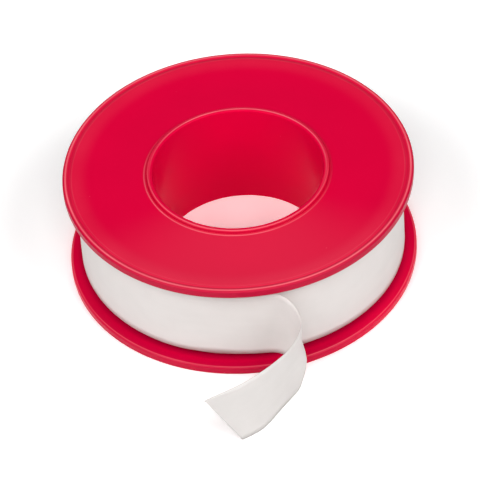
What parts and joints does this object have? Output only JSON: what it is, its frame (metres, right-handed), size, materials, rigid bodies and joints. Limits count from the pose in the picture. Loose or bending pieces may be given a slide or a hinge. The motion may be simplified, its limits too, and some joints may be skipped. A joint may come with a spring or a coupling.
{
  "type": "thread seal tape roll",
  "caption": "Flat roll of white thread seal tape on a red flanged spool with an open bore; the tape's free end curls off the roll and stands on the table.",
  "frame": {"origin": "on the spool's axis, at the lower end of the bore, in the plane that the roll rests on", "axes": "+Z along the spool's axis towards the separate upper flange; -Y towards the free end of the tape"},
  "size_m": [0.052, 0.0685, 0.017],
  "materials": {
    "red_plastic": "satin moulded red plastic",
    "white_film": "matt white unsintered film"
  },
  "bodies": {
    "spool": {"spool_body": "red_plastic", "upper_flange": "red_plastic", "tape_winding": "white_film"},
    "free_end": {"tape_end": "white_film"}
  },
  "joints": [
    {"name": "tape_unwind", "type": "hinge", "parent": "spool", "child": "free_end", "pos_m": [0, 0, 0.0084], "axis": [0, 0, 1], "continuous": true}
  ]
}
